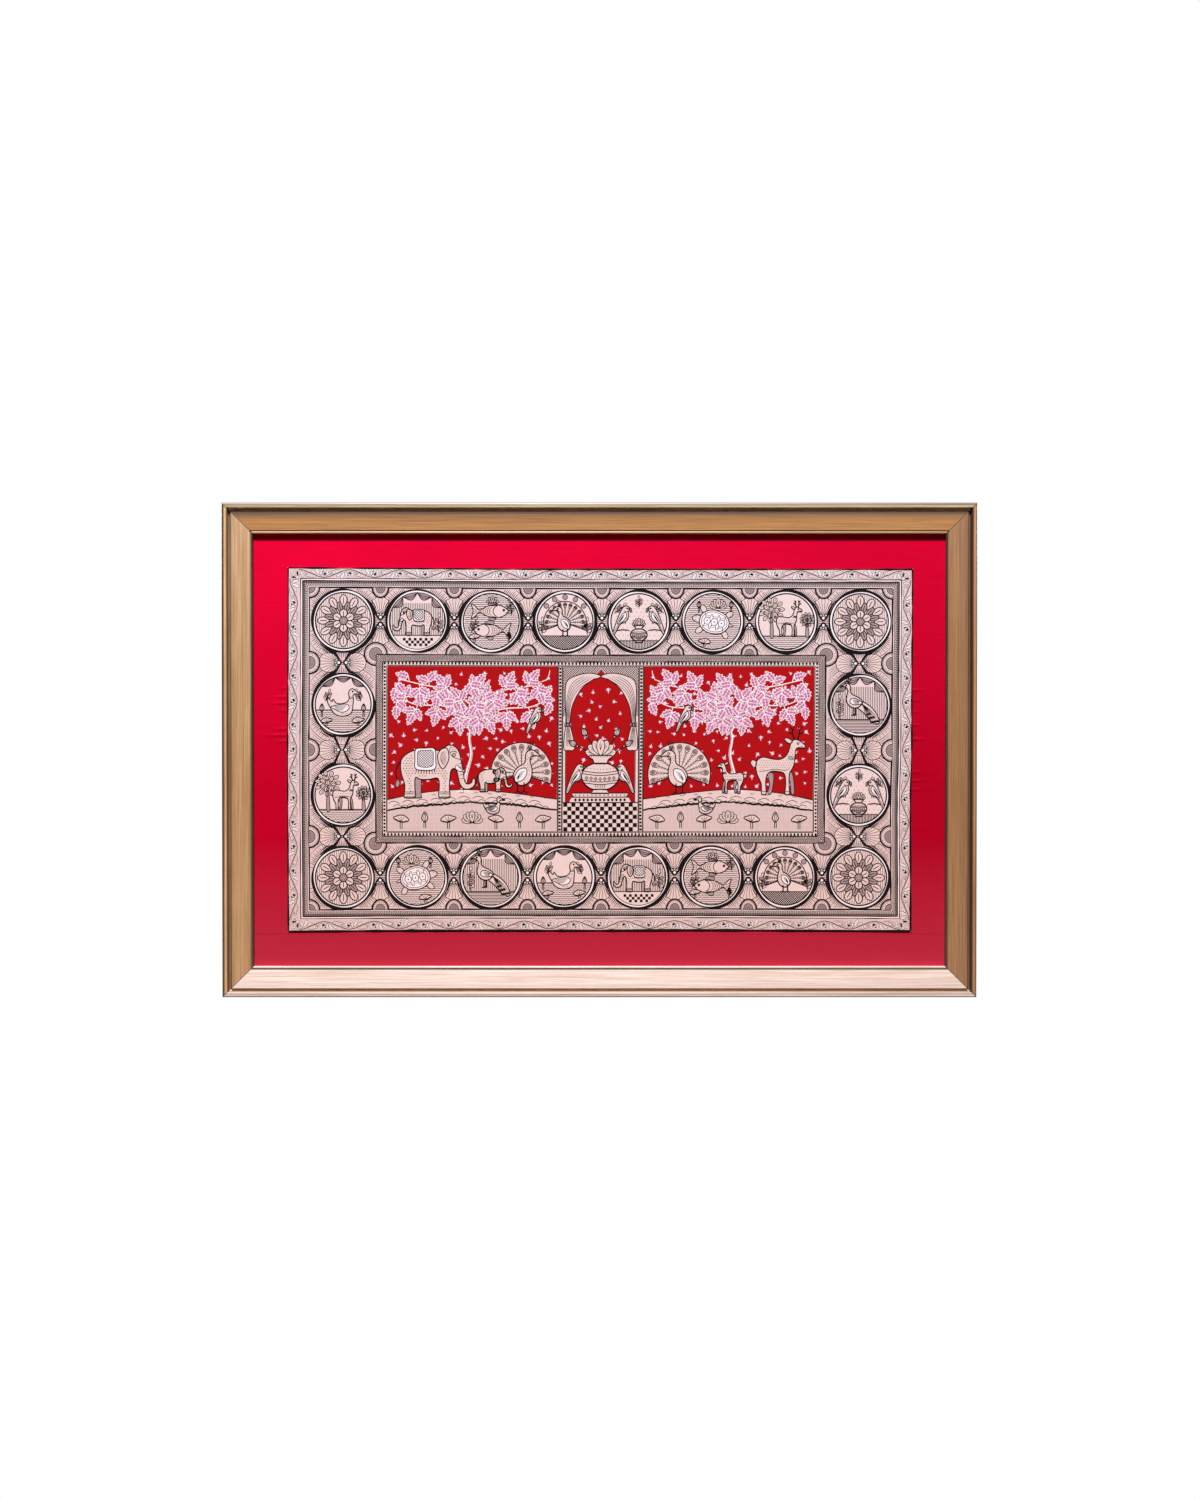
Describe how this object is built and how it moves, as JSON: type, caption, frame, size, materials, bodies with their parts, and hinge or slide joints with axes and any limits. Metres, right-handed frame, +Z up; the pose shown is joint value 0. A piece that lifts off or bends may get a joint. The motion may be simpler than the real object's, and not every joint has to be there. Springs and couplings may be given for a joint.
{
  "type": "pattachitra painting in picture frame",
  "caption": "Wide painted silk picture on red silk cloth in a mitred wooden picture frame, hung flat on a wall.",
  "frame": {"origin": "on the back of the top rail, at the middle of its length and width, in the plane of the wall", "axes": "+X to the right as seen from the front, +Y back into the wall, +Z up"},
  "size_m": [1.1, 0.028, 0.7205],
  "materials": {
    "frame_wood": "satin champagne stain with fine grain",
    "board": "plain brown hardboard",
    "red_silk": "plain weave red silk with fine slubs",
    "painted_silk": "primed raw silk painted in black, red, pink and grey"
  },
  "bodies": {
    "root": {"frame_top": "frame_wood", "frame_bottom": "frame_wood", "frame_left": "frame_wood", "frame_right": "frame_wood", "backing_board": "board", "mat_cloth_upper": "red_silk", "mat_cloth_lower": "red_silk", "painted_cloth": "painted_silk"}
  },
  "joints": []
}
